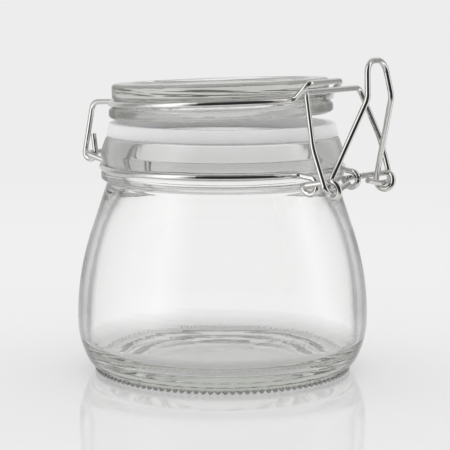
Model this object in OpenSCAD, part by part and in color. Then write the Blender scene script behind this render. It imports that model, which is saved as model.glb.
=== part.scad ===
// Squat preserving jar with a wire swing-top closure, in millimetres.
// The origin is the centre of the foot, +Z is up and +X points at the clasp.
// The wires are drawn along their centre lines, bend by bend, as they are formed.

/* [Jar] */
// Widest diameter of the body
body_d = 109.8; // [100:0.2:120]
// Height of the widest place
belly_z = 20; // [18:0.5:28]
// How the side curves in to the neck: 1 is straight, 2 is one even arc
side_curve = 1.46; // [1.2:0.01:1.9]
// Height of the jar up to its rim
jar_h = 88.8; // [84:0.2:100]
// Diameter of the ring that the jar stands on
foot_d = 84.4; // [82:0.2:88]
// Radius of the heel, between the side and the foot
heel_r = 10.5; // [7:0.5:12]
// Thickness of the side wall
wall = 3.4; // [2.5:0.1:5]
// Thickness of the bottom
base_t = 5; // [4:0.1:8]
// Radius of the fillet around the floor inside
floor_fillet = 8; // [5:0.5:12]
// Height of the dome pressed up into the underside
push_up = 2.6; // [1:0.1:3.5]
// Diameter of the mouth
mouth_d = 75; // [70:0.5:78]

/* [Neck] */
// Diameter of the neck just under its bead
neck_d = 86.8; // [84:0.2:88]
// Diameter of the bead under the neck wire
bead_d = 91.2; // [90:0.2:93]
// Height of that bead
bead_h = 4; // [3:0.1:5]
// Largest diameter of the collar above the neck wire
collar_d = 91.4; // [90:0.2:93]
// Diameter of the collar at the rim
rim_d = 87; // [85:0.2:90]
// Depth of the wire groove's floor below the rim
groove_depth_z = 11.4; // [10:0.1:14]

/* [Seal] */
// Thickness of the seal
seal_t = 5; // [3:0.1:6]
// Diameter of the seal at the bottom
seal_d = 87.2; // [85:0.2:90]
// How much narrower the seal is at its top
seal_taper = 2.6; // [0:0.1:4]
// Radial width of the seal at its bottom
seal_w = 5.2; // [4:0.1:6]

/* [Lid] */
// Thickness of the lid
lid_t = 13.3; // [12:0.1:16]
// Diameter of the lid's lower bead
lid_bead_d = 84.2; // [83:0.2:86]
// Height of the lower bead
lid_bead_h = 4.8; // [4:0.1:5]
// Diameter of the lid above its groove
lid_disc_d = 81.4; // [79:0.2:83]
// Depth of the hollow under the lid
lid_hollow = 6; // [3:0.1:8]
// Depth of the dish in the lid's top
lid_dish = 1.2; // [0.5:0.1:2]
// Angle by which the lid is raised at rest
lid_lift = 2.3; // [1:0.1:4]

/* [Wire] */
// Diameter of all four wires
wire_d = 2.1; // [1.8:0.1:2.3]
// Radius of a sharp bend, at the wire's centre line
bend_r = 2.4; // [2.3:0.1:2.8]
// Gap between a wire and what it turns on or lies against
play = 0.3; // [0.2:0.05:0.4]

/* [Hinge] */
// Distance from the jar's axis to the hinge bar
hinge_u = 54.2; // [52:0.2:58]
// Height of the hinge bar above the neck wire
hinge_rise = 2.9; // [1:0.1:4]
// Half the length of the hinge bar
ear_half = 15.4; // [15:0.1:18]
// Distance of each hook from the middle
hook_t = 12; // [10:0.1:12.2]
// Length of the hook's free end above the hinge bar
hook_end = 7.4; // [6:0.1:10]

/* [Nose] */
// Distance by which the nose stands out from the lid's disc
nose_out = 5.6; // [4.5:0.1:6.5]
// Height of the nose's bar above the lid wire
nose_rise = 6.1; // [5:0.1:7]
// Half the width of the nose
nose_half = 11.4; // [9:0.1:13]

/* [Clasp] */
// Gap between the pivot eyes and the bead of the neck
eye_gap = 0.5; // [0.3:0.1:2]
// Distance of each pivot eye from the middle
eye_t = 14.2; // [13:0.1:15]
// Radius of an eye or coil, at the wire's centre line
eye_r = 2.95; // [2.8:0.05:3.2]
// Distance from the lever's pivot to its coils
arm = 12; // [10:0.2:13]
// Distance of the lever's arms from the middle
arm_t = 19.8; // [19:0.1:20.4]
// Height of the lever above its pivot
lever_h = 43.8; // [38:0.2:50]
// Distance outwards from the pivot to the lever's top
lever_out = 18.1; // [15:0.1:21]
// Height above the pivot of the bend where the finger loop starts
loop_h = 30.8; // [27:0.1:34]
// Distance outwards from the pivot to that bend
loop_out = 19.9; // [17:0.1:22]
// Half the width of the finger loop at its foot
loop_foot = 8.4; // [7:0.1:10]
// Half the width of the finger loop at its top
loop_top = 5.9; // [5.4:0.1:7]
// Half the width of the link at its bar
link_top = 18.2; // [16:0.1:20]
// Half the width of the link at its widest
link_wide = 23.4; // [23:0.1:25]
// Length of the link's free ends beyond the coils
link_end = 10; // [6:0.1:11]
// How far below the nose's bar the link's bar rests
link_bar_drop = 2.8; // [2.4:0.1:4]

/* [Hidden] */
$fn = 96;

wire_r = wire_d / 2;
// Each stretch of wire runs this far into the next, and each bend is fuller by a step or
// two, too little to see, so that neighbours cross cleanly and join as one solid
lap = 0.1;
step = 0.02;

// Neck, from the rim down
groove_z = jar_h - groove_depth_z;
ring_r = bead_d / 2 - wire_r + 0.65;
groove_r = ring_r - wire_r - 0.05;
bead_top = groove_z - wire_r - 0.05;
bead_bottom = bead_top - bead_h;
neck_z = bead_bottom - 0.9;
collar_foot = groove_z + wire_r + 0.05;
collar_z = collar_foot + (jar_h - collar_foot) * 0.4;

// Lid, from its bottom up, as it lies when closed
closed_gap = 0.05;
lid_z = jar_h + seal_t + closed_gap;
lid_groove_z = lid_z + lid_bead_h + wire_r + 0.25;
lid_ring_r = lid_bead_d / 2 - wire_r + 0.25;
lid_groove_r = lid_ring_r - wire_r - 0.05;
lid_disc_z = lid_groove_z + wire_r + 0.25;
lid_top = lid_z + lid_t;

// Hinge bar, eyes, lever pivot and coils, in the plane of the clasp
hinge = [-hinge_u, groove_z + hinge_rise];
hook_r = wire_d + play + 0.2;
eye_c = [bead_d / 2 * cos(asin(eye_t / (bead_d / 2))) + eye_gap + eye_r + wire_r, groove_z - eye_r - 0.6];
pin_off = eye_r - wire_d - play;
pivot = [eye_c[0], eye_c[1] + pin_off];
coil_c = [pivot[0] + arm, pivot[1] - 0.8];
coil_axis = [coil_c[0], coil_c[1] - pin_off];
coil_lead = wire_d + 0.9;
leg_t = arm_t - coil_lead;
pin_end = eye_t - 5.2;

// Lid wire's nose when closed, and at rest
nose_closed = [lid_disc_d / 2 + nose_out, lid_groove_z + nose_rise];
nose = about(hinge, nose_closed, lid_lift);

// The link's bar leans on the nose from outside, just off its path as the lid opens
link_bar_z = nose[1] - link_bar_drop;
nose_reach = norm(nose - hinge) + wire_d + play;
link_bar = [hinge[0] + sqrt(pow(nose_reach, 2) - pow(link_bar_z - hinge[1], 2)), link_bar_z];
link_len = norm(coil_axis - link_bar);

// Lever: the foot and the top of its finger loop
loop_foot_p = [pivot[0] + loop_out, pivot[1] + loop_h];
loop_top_p = [pivot[0] + lever_out, pivot[1] + lever_h];

// A point turned about a centre, in the plane of the clasp
function about(c, p, a) =
    let (d = p - c) [c[0] + d[0] * cos(a) - d[1] * sin(a), c[1] + d[0] * sin(a) + d[1] * cos(a)];
function unit(v) = v / norm(v);
function heading(v) = atan2(v[1], v[0]);

// One bend of a wire: a corner of its centre line and the radius there
function bend(p, t, r) = [p[0], t, p[1], r];
function mirrored(path) = [for (i = [len(path) - 1:-1:0]) [path[i][0], -path[i][1], path[i][2], path[i][3]]];

// Corners of an arc in the plane of the clasp, whose t runs evenly from t0 to t1
function arc_bends(c, r, a0, a1, n, t0, t1) = [
    for (i = [0:n - 1])
        let (a = a0 + (a1 - a0) * (i + 0.5) / n, q = r / cos((a1 - a0) / (2 * n)))
        bend([c[0] + q * cos(a), c[1] + q * sin(a)], t0 + (t1 - t0) * (i + 0.5) / n, r)
];
// Corners of an arc around the jar's axis at height z
function ring_bends(r, z, a0, a1, n) = [
    for (i = [0:n - 1])
        let (a = a0 + (a1 - a0) * (i + 0.5) / n, q = r / cos((a1 - a0) / (2 * n)))
        [q * cos(a), q * sin(a), z, r]
];

// Angle on a ring of radius r at which a wire leaves it to bend outwards at distance t
function leave_angle(r, t, s) = asin((t + s * cos(asin(t / r))) / r);
// Distance outwards of that bend
function leave_u(r, t, s) = let (a = leave_angle(r, t, s)) r * cos(a) + s * sin(a);

// Where the tangent from p to a circle crosses the height z; side is 1 or -1
function tangent_corner(p, c, r, side, z) =
    let (d = c - p, a = heading(d) + side * asin(r / norm(d)))
    [p[0] + (z - p[1]) / tan(a), z];

// Round profile points: an arc from a0 to a1
function arc(c, r, a0, a1, n) = [for (i = [0:n]) let (a = a0 + (a1 - a0) * i / n) c + r * [cos(a), sin(a)]];

// A wire along its corners, each [x, y, z, bend radius]
module bent_wire(path) {
    p = [for (q = path) [q[0], q[1], q[2]]];
    last = len(p) - 1;
    dir = [for (i = [0:last - 1]) unit(p[i + 1] - p[i])];
    turn = [for (i = [0:last]) i == 0 || i == last ? 0 : acos(min(1, dir[i - 1] * dir[i]))];
    trim = [for (i = [0:last]) path[i][3] * tan(turn[i] / 2)];
    for (i = [0:last - 1]) {
        length = norm(p[i + 1] - p[i]) - trim[i] - trim[i + 1];
        lap_a = i == 0 ? 0 : lap;
        lap_b = i == last - 1 ? 0 : lap;
        if (length > 0.002) straight(p[i] + dir[i] * (trim[i] - lap_a), dir[i], length + lap_a + lap_b);
    }
    for (i = [1:last - 1]) {
        if (turn[i] > 0.01)
            elbow(p[i] - dir[i - 1] * trim[i], dir[i - 1], dir[i], path[i][3], turn[i], step * (1 + i % 2));
    }
}

// A straight stretch of wire from a, along d
module straight(a, d, length) {
    side = abs(d[2]) < 0.9 ? unit(cross([0, 0, 1], d)) : unit(cross([1, 0, 0], d));
    place(a, side, cross(d, side), d) cylinder(r = wire_r, h = length);
}

// A bend of radius r that starts at a along d and ends along e, fuller by grow
module elbow(a, d, e, r, angle, grow) {
    inward = unit(e - (e * d) * d);
    over = lap / r * 180 / PI;
    place(a + r * inward, -inward, d, cross(-inward, d))
        rotate([0, 0, -over]) rotate_extrude(angle = angle + 2 * over) translate([r, 0]) circle(r = wire_r + grow);
}

module place(c, x, y, z) {
    multmatrix([[x[0], y[0], z[0], c[0]], [x[1], y[1], z[1], c[1]], [x[2], y[2], z[2], c[2]], [0, 0, 0, 1]])
        children();
}

// Turns what it holds about the hinge, up from the closed lid's place
module raised() {
    translate([hinge[0], 0, hinge[1]]) rotate([0, -lid_lift, 0]) translate([-hinge[0], 0, -hinge[1]]) children();
}

module jar() {
    body_r = body_d / 2;
    neck_r = neck_d / 2;
    foot_r = foot_d / 2;
    mouth_r = mouth_d / 2;
    bead_r = bead_h / 2;
    // The side is an arc from the widest place, then straight to the neck
    sag = body_r - neck_r;
    rise = neck_z - belly_z;
    side_a = atan(sag / rise) * side_curve;
    side_r = (tan(side_a) * rise - sag) / (1 / cos(side_a) - 1);
    // Below it an arc runs down into the heel
    low_in = body_r - foot_r;
    heel = min(heel_r, low_in * 0.85);
    low_rise = belly_z - heel;
    low_r = (low_in * low_in + low_rise * low_rise - heel * heel) / (2 * (low_in - heel));
    low_a = asin(low_rise / (low_r - heel));
    // Inside, one arc runs up to the mouth, and the floor meets it in a wide fillet
    inner_r = body_r - wall;
    inner_sag = inner_r - mouth_r;
    inner_rise = neck_z + 1 - belly_z;
    inner_side = (inner_rise * inner_rise + inner_sag * inner_sag) / (2 * inner_sag);
    inner_a = asin(inner_rise / inner_side);
    floor_z = push_up + base_t;
    outer = concat(
        [[0, push_up], [foot_r * 0.68, push_up]],
        [[foot_r - 2.6, 0.6], [foot_r - 1.4, 0]],
        arc([foot_r, heel], heel, -90, -low_a, 8),
        arc([body_r - low_r, belly_z], low_r, -low_a, 0, 5),
        arc([body_r - side_r, belly_z], side_r, 0, side_a, 12),
        [[neck_r, neck_z], [neck_r, bead_bottom - 0.6]],
        arc([bead_d / 2 - bead_r, (bead_top + bead_bottom) / 2], bead_r, -60, 60, 8),
        [[groove_r, bead_top], [groove_r, collar_foot]],
        [[collar_d / 2 - 0.5, collar_z - 1.6], [collar_d / 2, collar_z], [collar_d / 2 - 0.3, collar_z + 1]],
        arc([rim_d / 2 - 0.9, jar_h - 1.2], 1.2, 20, 90, 5)
    );
    inner = concat(
        [[mouth_r + 0.8, jar_h], [mouth_r, jar_h - 0.8]],
        arc([inner_r - inner_side, belly_z], inner_side, inner_a, 0, 16),
        arc([inner_r - floor_fillet, floor_z + floor_fillet], floor_fillet, 0, -90, 8),
        [[0, floor_z]]
    );
    color([0.86, 0.89, 0.88, 0.5]) rotate_extrude($fn = 128) polygon(concat(outer, inner));
}

module seal() {
    seal_r = seal_d / 2;
    color([0.90, 0.90, 0.91]) rotate_extrude($fn = 128)
        polygon([
            [seal_r - seal_w, jar_h],
            [seal_r - 0.4, jar_h],
            [seal_r, jar_h + 0.5],
            [seal_r - seal_taper / 2 + 0.3, jar_h + seal_t - 0.4],
            [seal_r - seal_taper / 2, jar_h + seal_t],
            [seal_r - seal_w + 0.3, jar_h + seal_t]
        ]);
}

module lid() {
    disc_r = lid_disc_d / 2;
    bead_r = lid_bead_h / 2;
    hollow_r = mouth_d / 2 - 3;
    dish_r = disc_r - 6;
    color([0.84, 0.87, 0.85, 0.6]) raised() rotate_extrude($fn = 128)
        polygon(concat(
            [[0, lid_z + lid_hollow], [hollow_r - 4, lid_z + lid_hollow - 0.6], [hollow_r, lid_z]],
            [[lid_bead_d / 2 - bead_r * 0.9, lid_z]],
            arc([lid_bead_d / 2 - bead_r, lid_z + bead_r], bead_r, -75, 75, 10),
            [[lid_groove_r, lid_z + lid_bead_h + 0.2], [lid_groove_r, lid_disc_z]],
            [[disc_r - 0.9, lid_disc_z], [disc_r, lid_disc_z + 1.2], [disc_r, lid_top - 1.8]],
            arc([disc_r - 1.2, lid_top - 1.2], 1.2, 0, 90, 5),
            [[dish_r, lid_top], [dish_r - 3, lid_top - lid_dish], [0, lid_top - lid_dish]]
        ));
}

// Lid wire: hook, leg, ring, nose, and the same back to the other hook
module lid_wire() {
    steel = [0.80, 0.80, 0.80];
    front_a = leave_angle(lid_ring_r, nose_half, bend_r);
    front_u = leave_u(lid_ring_r, nose_half, bend_r);
    back_a = 180 - leave_angle(lid_ring_r, hook_t, bend_r);
    back_u = leave_u(lid_ring_r, hook_t, bend_r);
    knee = [hinge[0] + hook_r * 0.9, lid_groove_z];
    end = [hinge[0] + hook_r * 0.7, hinge[1] + hook_end];
    hook_z = hinge[1] - hook_r;
    half = concat(
        [bend(end, hook_t, 0)],
        [bend(tangent_corner(end, hinge, hook_r, 1, hook_z), hook_t, hook_r)],
        [bend(tangent_corner(knee, hinge, hook_r, -1, hook_z), hook_t, hook_r)],
        [bend(knee, hook_t, bend_r * 1.4)],
        [bend([-back_u, lid_groove_z], hook_t, bend_r)],
        ring_bends(lid_ring_r, lid_groove_z, back_a, front_a, 3),
        [bend([front_u, lid_groove_z], nose_half, bend_r)],
        [bend(nose_closed, nose_half, bend_r)]
    );
    color(steel) raised() bent_wire(concat(half, mirrored(half)));
}

// Neck wire: eye, ring, the ear with the hinge bar, and the same back to the other eye
module neck_wire() {
    steel = [0.80, 0.80, 0.80];
    front_a = leave_angle(ring_r, eye_t, bend_r);
    front = [leave_u(ring_r, eye_t, bend_r), groove_z];
    to_eye = eye_c - front;
    lead = heading(to_eye) + asin(eye_r / norm(to_eye));
    curl = 262;
    tip = eye_c + eye_r * [cos(90 + lead - curl), sin(90 + lead - curl)];
    tip_dir = [cos(lead - curl), sin(lead - curl)];
    back_a = 180 - leave_angle(ring_r, ear_half, bend_r);
    back_u = leave_u(ring_r, ear_half, bend_r);
    half = concat(
        [bend(tip + tip_dir * 0.3, eye_t, 0)],
        arc_bends(eye_c, eye_r, 90 + lead - curl, 90 + lead, 4, eye_t, eye_t),
        [bend(front, eye_t, bend_r)],
        ring_bends(ring_r, groove_z, front_a, back_a, 3),
        [bend([-back_u, groove_z], ear_half, bend_r)],
        [bend(hinge, ear_half, bend_r)]
    );
    color(steel) bent_wire(concat(half, mirrored(half)));
}

// Lever: pivot pin, arm, coil, leg and finger loop, and the same back to the other pin
module lever() {
    steel = [0.80, 0.80, 0.80];
    to_coil = coil_c - pivot;
    arm_a = heading(to_coil) + asin(eye_r / norm(to_coil));
    to_foot = loop_foot_p - coil_c;
    leg_a = heading(to_foot) - asin(eye_r / norm(to_foot));
    half = concat(
        [bend(pivot, pin_end, 0), bend(pivot, arm_t, bend_r)],
        arc_bends(coil_c, eye_r, 90 + arm_a, 90 + leg_a - 360, 6, arm_t, leg_t),
        [bend(loop_foot_p, loop_foot, bend_r * 3), bend(loop_top_p, loop_top, loop_top - 0.3)]
    );
    color(steel) bent_wire(concat(half, mirrored(half)));
}

// Link: free end, the bend outside the coil, leg and bar, and the same back to the other end
module link() {
    steel = [0.80, 0.80, 0.80];
    along = unit(coil_axis - link_bar);
    widest = link_bar + along * link_len * 0.55;
    end_t = leg_t - link_end;
    tip = coil_axis - along * link_end * 0.18;
    half = concat(
        [bend(tip, end_t, 0)],
        [bend(coil_axis, leg_t - 1.6, bend_r)],
        [bend(coil_axis, arm_t + wire_d + 0.7, bend_r)],
        [bend(widest, link_wide, bend_r * 6)],
        [bend(link_bar, link_top, bend_r * 1.2)]
    );
    color(steel) bent_wire(concat(half, mirrored(half)));
}

jar();
seal();
lid();
lid_wire();
neck_wire();
lever();
link();
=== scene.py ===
"""A squat preserving jar with a wire swing-top closure, on a pale studio table."""

import math

import bmesh
import bpy
from mathutils import Matrix, Vector


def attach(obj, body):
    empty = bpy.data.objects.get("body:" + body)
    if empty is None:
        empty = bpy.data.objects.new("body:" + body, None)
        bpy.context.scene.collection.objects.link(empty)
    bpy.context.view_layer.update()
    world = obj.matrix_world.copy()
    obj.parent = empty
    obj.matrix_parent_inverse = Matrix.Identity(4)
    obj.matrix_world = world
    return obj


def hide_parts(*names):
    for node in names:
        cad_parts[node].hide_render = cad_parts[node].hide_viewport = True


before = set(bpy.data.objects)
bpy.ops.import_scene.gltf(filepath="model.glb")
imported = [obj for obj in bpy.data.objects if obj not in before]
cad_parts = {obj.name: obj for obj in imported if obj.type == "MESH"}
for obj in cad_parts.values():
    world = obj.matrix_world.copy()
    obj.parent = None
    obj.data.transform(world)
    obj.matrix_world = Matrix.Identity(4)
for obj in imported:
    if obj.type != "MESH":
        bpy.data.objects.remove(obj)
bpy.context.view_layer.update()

MM = 0.001
WHITE = (1, 1, 1, 1)

# ---------------------------------------------------------------- sizes

# The jar, in millimetres, as in the part's source: radii, and heights above the table
BODY_R, BELLY_Z, JAR_H = 54.9, 20.0, 88.8
NECK_R, NECK_Z = 43.4, 71.4
FOOT_R, HEEL_R, FLOOR_FILLET = 42.2, 10.5, 8.0
WALL, FLOOR_Z, PUSH_UP = 3.4, 7.6, 2.6
SIDE_CURVE = 1.46
# The bead under the wire, the wire's groove, the rim and the mouth
BEAD_R, GROOVE_R, RIM_R, MOUTH_R = 45.6, 44.1, 40.5, 37.5

# The lid when closed: its underside's height, and the radii of its foot, dish, wire groove and top
LID_Z = 93.85
LID_FOOT_R, LID_DISH_R, LID_GROOVE_R, LID_TOP_R = 42.1, 34.5, 40.2, 40.7
# The bar that the lid turns about, and how far the lid stands up at rest
HINGE = Vector((-54.2 * MM, 0, 80.3 * MM))
LID_LIFT = math.radians(2.3)

# The beads round the foot: how many, on what radius, and each one's half width and height
BEADS, BEAD_RING_R, BEAD_SIZE, BEAD_RISE = 114, 47.4, 1.0, 1.4

# Steps round a full turn. The jar has six to each bead, so that they come out round
JAR_STEPS, RING_STEPS = 684, 258

# ---------------------------------------------------------------- glass and light

# Painted shade on the glass by height in metres, 1 being clear. The beads and the ring the jar
# stands on are painted dark, as shade where they meet the table; the collar is painted grey, as
# shade for the long bent light paths in its thick glass. The whole lid is painted an even grey
JAR_PAINTED_SHADE = [
    (0.0, 0.2),
    (0.0014, 0.25),
    (0.002, 1.0),
    (0.0765, 1.0),
    (0.0785, 0.62),
    (0.084, 0.5),
    (0.0885, 0.58),
]
LID_PAINTED_SHADE = [(0.0, 0.66), (0.11, 0.66)]

# Painted shade by angle: how clear the glass is painted from face on, 0, to edge on, 1, with
# dark painted shade at its edges
EDGE_PAINTED_SHADE = [(0.0, 1.0), (0.64, 1.0), (0.71, 0.75), (0.77, 0.25), (1.0, 0.08)]

# The room around the jar, as levels at shares of a turn that start at the viewer. Between the
# heights low and high of a level direction, 0, to straight up, 1, they go over to overhead.
# This is what shiny things mirror: a dark gap at the viewer, pale paper behind the jar, and
# bright and grey cards at the sides
MIRRORED_ROOM = {
    "stops": [
        (0.0, 0.03),
        (0.15, 0.03),
        (0.19, 0.6),
        (0.23, 1.5),
        (0.28, 0.6),
        (0.33, 0.3),
        (0.38, 0.7),
        (0.62, 0.7),
        (0.68, 0.4),
        (0.74, 0.4),
        (0.80, 1.0),
        (0.86, 1.8),
        (0.905, 0.6),
        (0.93, 0.03),
        (1.0, 0.03),
    ],
    "brightest": 2.0,
    "low": 0.85,
    "high": 1.0,
    "overhead": 0.3,
}
# This is what glass bends into view: lit paper behind the jar, and slightly dimmer walls
SEEN_THROUGH_GLASS = {
    "stops": [
        (0.0, 0.9),
        (0.27, 0.86),
        (0.38, 0.96),
        (0.61, 0.97),
        (0.72, 0.82),
        (0.8, 0.86),
        (1.0, 0.9),
    ],
    "brightest": 1.0,
    "low": 0.15,
    "high": 0.6,
    "overhead": 0.85,
}
# This is the soft light, more of which comes from behind the jar than from the viewer's side
SOFT_LIGHT = {
    "stops": [
        (0.0, 0.08),
        (0.1, 0.15),
        (0.2, 1.0),
        (0.38, 1.1),
        (0.62, 1.1),
        (0.8, 1.05),
        (0.9, 0.15),
        (1.0, 0.08),
    ],
    "brightest": 1.0,
    "low": 0.15,
    "high": 0.6,
    "overhead": 0.8,
}
# The turn that brings the viewer to the start of those levels
ROOM_TURN = math.radians(-125)
# The mirror image of the glass in the table, as a share of the glass's own brightness
IMAGE_SHARE = 0.68
PAPER = "#EDEDED"

# Metres from the jar where the table starts to go over to paper and where it is all paper, for
# the eye and for what glass and metal show. What is seen through glass comes nearer by the last
EYE_START, EYE_END = 0.25, 0.7
BENT_START, BENT_END = 0.12, 0.2
THROUGH_SHIFT = -0.08
TABLE_HALF_WIDTH = 6.0

# A long lens 650 mm from the jar's axis and 142 mm above the table, tipped down by 7.7 degrees
CAMERA_TURN = math.radians(35)
CAMERA_BACK, CAMERA_RIGHT, CAMERA_UP = 0.650, 0.00095, 0.1423
CAMERA_TIP = 0.134
SENSOR_MM, LENS_MM = 36, 138.66

# Enough bounces for light to cross the lid, the wall, the seal and the wall again, and to run
# round inside the thick heel
BOUNCES = 24


# ---------------------------------------------------------------- shader tools


def linear(code):
    """An sRGB hex colour as linear red, green, blue and alpha."""
    parts = [int(code[i : i + 2], 16) / 255 for i in (1, 3, 5)]
    parts = [c / 12.92 if c <= 0.04045 else ((c + 0.055) / 1.055) ** 2.4 for c in parts]
    return parts + [1.0]


def add_node(tree, kind, settings=None, **inputs):
    """Adds a shader node. An input goes by name, or as i0, i1 and so on by number, and is a
    value or an output socket to link."""
    made = tree.nodes.new(kind)
    for name, value in (settings or {}).items():
        setattr(made, name, value)
    for key, value in inputs.items():
        numbered = key[0] == "i" and key[1:].isdigit()
        socket = made.inputs[int(key[1:]) if numbered else key.replace("_", " ")]
        if isinstance(value, bpy.types.NodeSocket):
            tree.links.new(value, socket)
        else:
            socket.default_value = value
    return made


def new_material(name):
    """An empty node material, its tree, and the output that is all it holds."""
    material = bpy.data.materials.new(name)
    material.use_nodes = True
    tree = material.node_tree
    tree.nodes.clear()
    return material, tree, tree.nodes.new("ShaderNodeOutputMaterial")


def set_stops(ramp, stops):
    """Sets the stops of a colour ramp, each a place and a grey level."""
    elements = ramp.color_ramp.elements
    while len(elements) < len(stops):
        elements.new(0.5)
    for element, (place, level) in zip(elements, stops):
        element.position = place
        element.color = (level, level, level, 1)


# ---------------------------------------------------------------- materials


def soda_lime_glass(name, iron_tint, depth, ripple, streaks, painted_shade_stops):
    """Pressed soda-lime glass: clear and glossy, with the slow ripple and the level streaks
    that the mould leaves. The iron in it greys it where it is thick, and depth says how fast.
    Painted shade greys it more at the heights that the stops give, and at its edges."""
    material, tree, out = new_material(name)
    place = add_node(tree, "ShaderNodeTexCoord").outputs["Object"]
    # The ripple swells over about 25 mm, and a finer one over about 7 mm
    slow = add_node(tree, "ShaderNodeTexNoise", Vector=place, Scale=40.0, Detail=1.0)
    fine = add_node(tree, "ShaderNodeTexNoise", Vector=place, Scale=140.0, Detail=2.0)
    ripples = add_node(
        tree,
        "ShaderNodeMix",
        {"data_type": "FLOAT"},
        i0=0.2,
        i2=slow.outputs["Fac"],
        i3=fine.outputs["Fac"],
    )
    # The streaks lie level, about 2 mm apart and 40 mm long
    flat = add_node(
        tree, "ShaderNodeVectorMath", {"operation": "MULTIPLY"}, i0=place, i1=(25, 25, 450)
    )
    streak = add_node(
        tree, "ShaderNodeTexNoise", Vector=flat.outputs[0], Scale=1.0, Detail=2.0
    )
    relief = add_node(
        tree,
        "ShaderNodeMix",
        {"data_type": "FLOAT"},
        i0=streaks,
        i2=ripples.outputs[0],
        i3=streak.outputs["Fac"],
    )
    bump = add_node(
        tree, "ShaderNodeBump", Strength=ripple, Distance=1.5 * MM, Height=relief.outputs[0]
    )
    # Where the wall is seen edge on it is painted greyer: painted shade for the glass's dark edges
    edge = add_node(tree, "ShaderNodeLayerWeight", Blend=0.5)
    painted_shade_by_angle = add_node(tree, "ShaderNodeValToRGB", i0=edge.outputs["Facing"])
    set_stops(painted_shade_by_angle, EDGE_PAINTED_SHADE)
    # A ramp runs from 0 to 1, so it holds heights up to 125 mm as eight times their metres
    height = add_node(tree, "ShaderNodeSeparateXYZ", i0=place)
    share = add_node(
        tree, "ShaderNodeMath", {"operation": "MULTIPLY"}, i0=height.outputs["Z"], i1=8.0
    )
    # Painted shade by height, by the stops given
    painted_shade_by_height = add_node(tree, "ShaderNodeValToRGB", i0=share.outputs[0])
    set_stops(painted_shade_by_height, [(z * 8.0, level) for z, level in painted_shade_stops])
    painted_shade = add_node(
        tree,
        "ShaderNodeMath",
        {"operation": "MULTIPLY"},
        i0=painted_shade_by_angle.outputs[0],
        i1=painted_shade_by_height.outputs[0],
    )
    # Only the outside of the standing wall gets this painted shade, and not the floor, the dish,
    # the rim or what is seen from within
    surface = add_node(tree, "ShaderNodeNewGeometry")
    normal = add_node(tree, "ShaderNodeSeparateXYZ", i0=surface.outputs["Normal"])
    slope = add_node(
        tree, "ShaderNodeMath", {"operation": "ABSOLUTE"}, i0=normal.outputs["Z"]
    )
    lying = add_node(
        tree, "ShaderNodeMapRange", Value=slope.outputs[0], From_Min=0.5, From_Max=0.8
    )
    clear = add_node(
        tree,
        "ShaderNodeMath",
        {"operation": "MAXIMUM"},
        i0=lying.outputs[0],
        i1=surface.outputs["Backfacing"],
    )
    # The painted shade goes into the glass's base colour wherever the mask leaves it
    painted_shade_tint = add_node(
        tree,
        "ShaderNodeMix",
        {"data_type": "RGBA"},
        i0=clear.outputs[0],
        i6=painted_shade.outputs[0],
        i7=WHITE,
    )
    shader = add_node(
        tree,
        "ShaderNodeBsdfPrincipled",
        Base_Color=painted_shade_tint.outputs[2],
        Roughness=0.0,
        IOR=1.52,
        Transmission_Weight=1.0,
        Normal=bump.outputs["Normal"],
    )
    tree.links.new(shader.outputs[0], out.inputs["Surface"])
    iron = add_node(
        tree, "ShaderNodeVolumeAbsorption", Color=linear(iron_tint), Density=depth
    )
    tree.links.new(iron.outputs[0], out.inputs["Volume"])
    return material


def moulded_silicone():
    """Moulded silicone rubber: milky white, it lets light a little way in, has a dull bloom,
    and looks paler at its edges."""
    material, tree, out = new_material("moulded_silicone")
    place = add_node(tree, "ShaderNodeTexCoord").outputs["Object"]
    # A faint cloudiness over about 8 mm
    cloud = add_node(tree, "ShaderNodeTexNoise", Vector=place, Scale=120.0, Detail=3.0)
    tone = add_node(
        tree,
        "ShaderNodeMix",
        {"data_type": "RGBA"},
        i0=cloud.outputs["Fac"],
        i6=linear("#F0F0F1"),
        i7=linear("#F8F8F9"),
    )
    # The grain of the mould, about 0.7 mm
    grain = add_node(tree, "ShaderNodeTexNoise", Vector=place, Scale=1500.0, Detail=2.0)
    bump = add_node(
        tree,
        "ShaderNodeBump",
        Strength=0.1,
        Distance=0.1 * MM,
        Height=grain.outputs["Fac"],
    )
    shader = add_node(
        tree,
        "ShaderNodeBsdfPrincipled",
        Base_Color=tone.outputs[2],
        Roughness=0.5,
        IOR=1.41,
        Subsurface_Weight=1.0,
        Subsurface_Radius=(6 * MM, 6 * MM, 6 * MM),
        Subsurface_Scale=1.0,
        Sheen_Weight=0.5,
        Sheen_Roughness=0.35,
        Normal=bump.outputs["Normal"],
    )
    tree.links.new(shader.outputs[0], out.inputs["Surface"])
    return material


def drawn_steel():
    """Drawn stainless wire: bright, with fine lines from the die that soften what it mirrors."""
    material, tree, out = new_material("drawn_stainless_wire")
    place = add_node(tree, "ShaderNodeTexCoord").outputs["Object"]
    # The real lines are too fine to show, so they are drawn about 2 mm apart
    lines = add_node(tree, "ShaderNodeTexNoise", Vector=place, Scale=500.0, Detail=2.0)
    rough = add_node(
        tree, "ShaderNodeMapRange", Value=lines.outputs["Fac"], To_Min=0.05, To_Max=0.11
    )
    bump = add_node(
        tree,
        "ShaderNodeBump",
        Strength=0.04,
        Distance=0.05 * MM,
        Height=lines.outputs["Fac"],
    )
    tone = add_node(
        tree,
        "ShaderNodeMix",
        {"data_type": "RGBA"},
        i0=lines.outputs["Fac"],
        i6=linear("#D8D7D4"),
        i7=linear("#EDECEA"),
    )
    shader = add_node(
        tree,
        "ShaderNodeBsdfPrincipled",
        Base_Color=tone.outputs[2],
        Metallic=1.0,
        Roughness=rough.outputs[0],
        Normal=bump.outputs["Normal"],
    )
    tree.links.new(shader.outputs[0], out.inputs["Surface"])
    return material


# ---------------------------------------------------------------- shapes


def arc(centre, radius, start, end, count):
    """Points of an arc, in degrees, from start to end."""
    turns = [math.radians(start + (end - start) * i / count) for i in range(count + 1)]
    return [
        (centre[0] + radius * math.cos(t), centre[1] + radius * math.sin(t)) for t in turns
    ]


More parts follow.
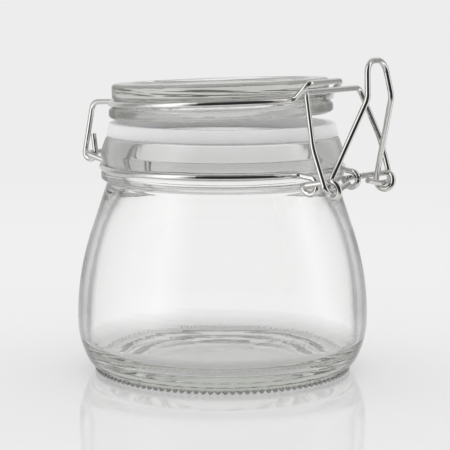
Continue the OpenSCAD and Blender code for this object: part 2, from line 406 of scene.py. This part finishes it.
def rounded(corners, count=4):
    """A profile whose corners, each (r, z, radius), are rounded. Radius 0 stays sharp."""
    points = []
    last = len(corners) - 1
    for i, (r, z, radius) in enumerate(corners):
        here = Vector((r, z))
        if not radius or i in (0, last):
            points.append((r, z))
            continue
        before = Vector(corners[i - 1][:2]) - here
        after = Vector(corners[i + 1][:2]) - here
        half = before.angle(after) / 2
        # A fillet takes a little under half of the shorter side beside it
        back = min(radius / math.tan(half), before.length * 0.49, after.length * 0.49)
        radius = back * math.tan(half)
        towards = (before.normalized() + after.normalized()).normalized()
        centre = here + towards * (radius / math.sin(half))
        first = (here + before.normalized() * back - centre).normalized()
        final = (here + after.normalized() * back - centre).normalized()
        points += [
            tuple(centre + first.slerp(final, k / count) * radius) for k in range(count + 1)
        ]
    return points


def finish_mesh(name, shape):
    """Makes an object of a bmesh and puts it in the scene."""
    mesh = bpy.data.meshes.new(name)
    shape.to_mesh(mesh)
    shape.free()
    piece = bpy.data.objects.new(name, mesh)
    bpy.context.scene.collection.objects.link(piece)
    return piece


def turned(name, profile, steps):
    """A piece spun from a profile of (r, z) in millimetres, which starts and ends on the axis
    or else closes on itself."""
    shape = bmesh.new()
    ring = [shape.verts.new((r * MM, 0, z * MM)) for r, z in profile]
    edges = [shape.edges.new(pair) for pair in zip(ring, ring[1:])]
    if profile[0][0] > 0:
        edges.append(shape.edges.new((ring[-1], ring[0])))
    # A sixth is spun, and then copied round five times, which is far quicker than one long spin
    sixth = math.tau / 6
    about = {"cent": (0, 0, 0), "axis": (0, 0, 1)}
    bmesh.ops.spin(shape, geom=ring + edges, angle=sixth, steps=steps // 6, **about)
    part = shape.verts[:] + shape.edges[:] + shape.faces[:]
    bmesh.ops.spin(
        shape, geom=part, angle=math.tau - sixth, steps=5, use_duplicate=True, **about
    )
    bmesh.ops.remove_doubles(shape, verts=shape.verts, dist=0.002 * MM)
    bmesh.ops.recalc_face_normals(shape, faces=shape.faces)
    for face in shape.faces:
        face.smooth = True
    return finish_mesh(name, shape)


def jar_profile():
    """The jar's section from the middle of its underside, up the outside to the rim, and down
    the inside to the middle of its floor."""
    # The side is an arc from the belly to the neck, and a tighter one from the heel to the belly
    sag, rise = BODY_R - NECK_R, NECK_Z - BELLY_Z
    side_a = math.atan(sag / rise) * SIDE_CURVE
    side_r = (math.tan(side_a) * rise - sag) / (1 / math.cos(side_a) - 1)
    low_in, low_rise = BODY_R - FOOT_R, BELLY_Z - HEEL_R
    low_r = (low_in**2 + low_rise**2 - HEEL_R**2) / (2 * (low_in - HEEL_R))
    low_a = math.degrees(math.asin(low_rise / (low_r - HEEL_R)))
    foot = rounded(
        [
            (0, PUSH_UP, 0),
            (28.6, PUSH_UP, 6),
            (37.2, 1.3, 5),
            (40.2, 0.2, 1),
            (FOOT_R - 0.6, 0, 0.5),
            (FOOT_R, 0, 0),
        ],
        3,
    )
    # The heel is drawn finely where its beads are
    side = []
    for start, end, count in ((-90, -68, 3), (-68, -53, 10), (-53, -low_a, 5)):
        side += arc((FOOT_R, HEEL_R), HEEL_R, start, end, count)[1:]
    side += arc((BODY_R - low_r, BELLY_Z), low_r, -low_a, 0, 6)[1:]
    side += arc((BODY_R - side_r, BELLY_Z), side_r, 0, math.degrees(side_a), 16)[1:]
    # The neck bead, the groove of the neck wire, and the collar up to the rim
    neck = rounded(
        [
            (*side[-1], 0),
            (NECK_R, NECK_Z, 1.2),
            (NECK_R + 0.2, 72.2, 0.8),
            (BEAD_R, 72.9, 1.1),
            (BEAD_R, 75.8, 1.1),
            (GROOVE_R, 76.35, 0.3),
            (GROOVE_R, 78.5, 0.2),
            (44.9, 78.6, 0.2),
            (45.5, 81.0, 1.5),
            (45.75, 82.7, 1.6),
            (43.6, JAR_H, 1.3),
            (RIM_R, JAR_H, 0),
        ],
        3,
    )[1:]
    mouth = rounded([(RIM_R, JAR_H, 0), (MOUTH_R, JAR_H, 1.2), (MOUTH_R, NECK_Z + 1.1, 0)])[1:]
    inner_r = BODY_R - WALL
    inner_sag, inner_rise = inner_r - MOUTH_R, NECK_Z + 1 - BELLY_Z
    inner_side = (inner_rise**2 + inner_sag**2) / (2 * inner_sag)
    inner_a = math.degrees(math.asin(inner_rise / inner_side))
    inside = arc((inner_r - inner_side, BELLY_Z), inner_side, inner_a, 0, 16)[1:]
    fillet_at = (inner_r - FLOOR_FILLET, FLOOR_Z + FLOOR_FILLET)
    inside += arc(fillet_at, FLOOR_FILLET, 0, -90, 10)[1:]
    return foot + side + neck + mouth + inside + [(0, FLOOR_Z)]


def stipple_heel(piece):
    """Raises a ring of small beads on the heel, on which the hot jar was set down."""
    middle = -math.acos((BEAD_RING_R - FOOT_R) / HEEL_R)
    pitch = math.tau * BEAD_RING_R / BEADS
    for vert in piece.data.vertices:
        r, z = math.hypot(vert.co.x, vert.co.y) / MM, vert.co.z / MM
        turn = math.atan2(z - HEEL_R, r - FOOT_R)
        down = (turn - middle) * HEEL_R
        on_skin = math.hypot(r - FOOT_R, z - HEEL_R) >= HEEL_R - 0.1
        if r < FOOT_R or z > HEEL_R or abs(down) > BEAD_SIZE or not on_skin:
            continue
        share = math.atan2(vert.co.y, vert.co.x) / math.tau * BEADS
        along = (share - round(share)) * pitch
        rise = math.sqrt(max(0.0, 1 - (down**2 + along**2) / BEAD_SIZE**2))
        level = Vector((vert.co.x / MM / r, vert.co.y / MM / r, 0))
        out = level * math.cos(turn) + Vector((0, 0, math.sin(turn)))
        vert.co += out * BEAD_RISE * MM * rise


def lid_profile():
    """The lid's section when closed, from the middle of its underside round to the middle of
    its top."""
    return rounded(
        [
            (0, LID_Z + 6, 0),
            (30.5, LID_Z + 5.4, 4),
            (LID_DISH_R, LID_Z, 1.2),
            (39.9, LID_Z, 1.2),
            (LID_FOOT_R, LID_Z + 0.9, 1.6),
            (LID_FOOT_R, LID_Z + 3.9, 1.8),
            (LID_GROOVE_R, LID_Z + 5.0, 0.5),
            (LID_GROOVE_R, LID_Z + 7.4, 0.5),
            (LID_TOP_R, LID_Z + 8.4, 1.0),
            (LID_TOP_R, LID_Z + 13.3, 1.4),
            (34.7, LID_Z + 13.3, 1.5),
            (31.7, LID_Z + 12.1, 2.5),
            (0, LID_Z + 12.1, 0),
        ],
        6,
    )


def seal_profile():
    """The seal's section: it narrows upwards, with a soft lip at its foot."""
    return rounded(
        [
            (40.0, JAR_H, 0),
            (43.2, JAR_H, 0.4),
            (43.6, 89.3, 0.4),
            (42.3, 93.8, 0.5),
            (38.7, 93.8, 0.5),
            (38.4, JAR_H, 0.4),
            (39.9, JAR_H, 0),
        ]
    )


def raise_lid(piece):
    """Turns a closed piece of the lid up to its rest, about the hinge bar."""
    turn = Matrix.Rotation(-LID_LIFT, 4, "Y")
    piece.data.transform(Matrix.Translation(HINGE) @ turn @ Matrix.Translation(-HINGE))


# ---------------------------------------------------------------- pieces

jar = turned("jar_body", jar_profile(), JAR_STEPS)
stipple_heel(jar)
# The jar's glass carries painted shade: dark at its foot, grey at its collar and at its edges
jar.data.materials.append(
    soda_lime_glass("pressed_soda_lime_glass_painted_shade", "#E4E6DF", 13.0, 0.10, 0.15, JAR_PAINTED_SHADE)
)
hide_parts("jar")
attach(jar, "jar")

lid = turned("lid_disc", lid_profile(), RING_STEPS)
raise_lid(lid)
# The lid's glass is painted an even grey shade, darker at its edges
lid.data.materials.append(
    soda_lime_glass("pressed_lid_glass_painted_shade", "#DDDED8", 14.0, 0.28, 0.6, LID_PAINTED_SHADE)
)
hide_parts("lid")
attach(lid, "lid")

seal = turned("seal_ring", seal_profile(), RING_STEPS)
seal.data.materials.append(moulded_silicone())
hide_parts("seal")
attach(seal, "jar")

steel = drawn_steel()
for wire in ("lid_wire", "neck_wire", "lever", "link"):
    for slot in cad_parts[wire].material_slots:
        slot.material = steel


# ---------------------------------------------------------------- studio


def room_level(tree, direction, stops, brightest, low, high, overhead):
    """How bright the room is that way. A ramp ends at 1, so it holds shares of the brightest."""
    turned_way = add_node(
        tree,
        "ShaderNodeVectorRotate",
        {"rotation_type": "Z_AXIS"},
        Vector=direction,
        Angle=ROOM_TURN,
    )
    around = add_node(
        tree, "ShaderNodeTexGradient", {"gradient_type": "RADIAL"}, Vector=turned_way.outputs[0]
    )
    shares = add_node(tree, "ShaderNodeValToRGB", i0=around.outputs["Fac"])
    set_stops(shares, [(place, level / brightest) for place, level in stops])
    level = add_node(
        tree, "ShaderNodeMath", {"operation": "MULTIPLY"}, i0=shares.outputs[0], i1=brightest
    )
    split = add_node(tree, "ShaderNodeSeparateXYZ", i0=direction)
    height = add_node(
        tree, "ShaderNodeMapRange", Value=split.outputs["Z"], From_Min=low, From_Max=high
    )
    mixed = add_node(
        tree,
        "ShaderNodeMix",
        {"data_type": "FLOAT"},
        i0=height.outputs[0],
        i2=level.outputs[0],
        i3=overhead,
    )
    return mixed.outputs[0]


def glassy_level(tree, direction, rays):
    """How bright the room is that way through glass, and dimmer in the table's mirror image of
    the glass than in the glass itself."""
    level = room_level(tree, direction, **SEEN_THROUGH_GLASS)
    mirrored = add_node(
        tree, "ShaderNodeMath", {"operation": "MINIMUM"}, i0=rays.outputs["Glossy Depth"], i1=1.0
    )
    share = add_node(
        tree, "ShaderNodeMapRange", Value=mirrored.outputs[0], To_Min=1.0, To_Max=IMAGE_SHARE
    )
    dimmed = add_node(
        tree, "ShaderNodeMath", {"operation": "MULTIPLY"}, i0=level, i1=share.outputs[0]
    )
    return dimmed.outputs[0]


def paper_distance(tree, rays, bent, for_eye, for_bent):
    """How far from the jar a change to paper comes, for each kind of ray."""
    distance = add_node(tree, "ShaderNodeMapRange", Value=bent, To_Min=for_eye, To_Max=for_bent)
    nearer = add_node(
        tree,
        "ShaderNodeMath",
        {"operation": "MULTIPLY_ADD"},
        i0=rays.outputs["Is Transmission Ray"],
        i1=THROUGH_SHIFT,
        i2=distance.outputs[0],
    )
    return nearer.outputs[0]


def pale_table():
    """Polished white acrylic: it mirrors what stands on it and keeps its shadow. Far off it is
    the room's paper, because the eye sees no end to it."""
    material, tree, out = new_material("polished_acrylic")
    near = add_node(
        tree,
        "ShaderNodeBsdfPrincipled",
        Base_Color=linear("#B2B2B2"),
        Roughness=0.04,
        IOR=1.55,
        Emission_Color=WHITE,
        Emission_Strength=0.29,
    )
    place = add_node(tree, "ShaderNodeTexCoord").outputs["Object"]
    rays = add_node(tree, "ShaderNodeLightPath")
    is_glossy, is_through = rays.outputs["Is Glossy Ray"], rays.outputs["Is Transmission Ray"]
    way = add_node(tree, "ShaderNodeVectorMath", {"operation": "NORMALIZE"}, i0=place).outputs[0]
    paper = add_node(tree, "ShaderNodeEmission", Color=linear(PAPER), Strength=1.0)
    room = add_node(
        tree,
        "ShaderNodeEmission",
        Color=WHITE,
        Strength=room_level(tree, way, **MIRRORED_ROOM),
    )
    glassy = add_node(
        tree, "ShaderNodeEmission", Color=WHITE, Strength=glassy_level(tree, way, rays)
    )
    distant = add_node(
        tree, "ShaderNodeMixShader", i0=is_glossy, i1=paper.outputs[0], i2=room.outputs[0]
    )
    distant = add_node(
        tree, "ShaderNodeMixShader", i0=is_through, i1=distant.outputs[0], i2=glassy.outputs[0]
    )
    reach = add_node(tree, "ShaderNodeVectorMath", {"operation": "LENGTH"}, i0=place)
    bent = add_node(
        tree, "ShaderNodeMath", {"operation": "MAXIMUM"}, i0=is_glossy, i1=is_through
    ).outputs[0]
    far = add_node(
        tree,
        "ShaderNodeMapRange",
        Value=reach.outputs["Value"],
        From_Min=paper_distance(tree, rays, bent, EYE_START, BENT_START),
        From_Max=paper_distance(tree, rays, bent, EYE_END, BENT_END),
    )
    mix = add_node(
        tree, "ShaderNodeMixShader", i0=far.outputs[0], i1=near.outputs[0], i2=distant.outputs[0]
    )
    tree.links.new(mix.outputs[0], out.inputs["Surface"])
    return material


def pale_room():
    """The world: plain paper for the eye, and the room for what is mirrored, bent or lit."""
    world = bpy.data.worlds.new("studio")
    world.use_nodes = True
    tree = world.node_tree
    tree.nodes.clear()
    rays = add_node(tree, "ShaderNodeLightPath")
    way = add_node(tree, "ShaderNodeTexCoord").outputs["Generated"]
    paper = add_node(tree, "ShaderNodeBackground", Color=linear(PAPER), Strength=1.0)
    room = add_node(
        tree,
        "ShaderNodeBackground",
        Color=WHITE,
        Strength=room_level(tree, way, **MIRRORED_ROOM),
    )
    light = add_node(
        tree,
        "ShaderNodeBackground",
        Color=WHITE,
        Strength=room_level(tree, way, **SOFT_LIGHT),
    )
    glassy = add_node(
        tree, "ShaderNodeBackground", Color=WHITE, Strength=glassy_level(tree, way, rays)
    )
    # Light that the table gathers through the glass is as bright as what it gathers beside it,
    # so that choice comes after those on glossy and bent rays
    gathered = add_node(
        tree, "ShaderNodeMath", {"operation": "MINIMUM"}, i0=rays.outputs["Diffuse Depth"], i1=1.0
    )
    seen = light
    for share, shown in (
        (rays.outputs["Is Glossy Ray"], room),
        (rays.outputs["Is Transmission Ray"], glassy),
        (gathered.outputs[0], light),
        (rays.outputs["Is Camera Ray"], paper),
    ):
        seen = add_node(
            tree, "ShaderNodeMixShader", i0=share, i1=seen.outputs[0], i2=shown.outputs[0]
        )
    add_node(tree, "ShaderNodeOutputWorld", Surface=seen.outputs[0])
    return world


def softbox(name, place, target, size, watts):
    """A soft rectangular lamp that faces its target and leaves no window in the glass."""
    lamp = bpy.data.lights.new(name, "AREA")
    lamp.shape = "RECTANGLE"
    lamp.size, lamp.size_y = size
    lamp.energy = watts
    holder = bpy.data.objects.new(name, lamp)
    holder.location = place
    holder.visible_glossy = False
    holder.visible_transmission = False
    holder.rotation_euler = (Vector(target) - Vector(place)).to_track_quat("-Z", "Y").to_euler()
    bpy.context.scene.collection.objects.link(holder)


top = bmesh.new()
bmesh.ops.create_grid(top, x_segments=1, y_segments=1, size=TABLE_HALF_WIDTH)
table = finish_mesh("table_top", top)
table.data.materials.append(pale_table())

bpy.context.scene.world = pale_room()
softbox("top_softbox", (0.1, 0.1, 1.2), (0, 0, 0.05), (1.2, 1.2), 5.5)
softbox("left_softbox", (-0.9, -0.5, 0.5), (0, 0, 0.06), (0.6, 0.9), 1.5)

# ---------------------------------------------------------------- camera

back = Vector((math.sin(CAMERA_TURN), -math.cos(CAMERA_TURN), 0))
right = Vector((math.cos(CAMERA_TURN), math.sin(CAMERA_TURN), 0))
lens = bpy.data.cameras.new("camera")
lens.sensor_width = SENSOR_MM
lens.lens = LENS_MM
camera = bpy.data.objects.new("camera", lens)
camera.location = back * CAMERA_BACK + right * CAMERA_RIGHT + Vector((0, 0, CAMERA_UP))
camera.rotation_euler = (math.pi / 2 - CAMERA_TIP, 0, CAMERA_TURN)
bpy.context.scene.collection.objects.link(camera)
bpy.context.scene.camera = camera
bpy.context.scene.view_settings.view_transform = "Standard"

cycles = bpy.context.scene.cycles
cycles.use_denoising = True
cycles.max_bounces = BOUNCES
cycles.transmission_bounces = BOUNCES
cycles.glossy_bounces = BOUNCES
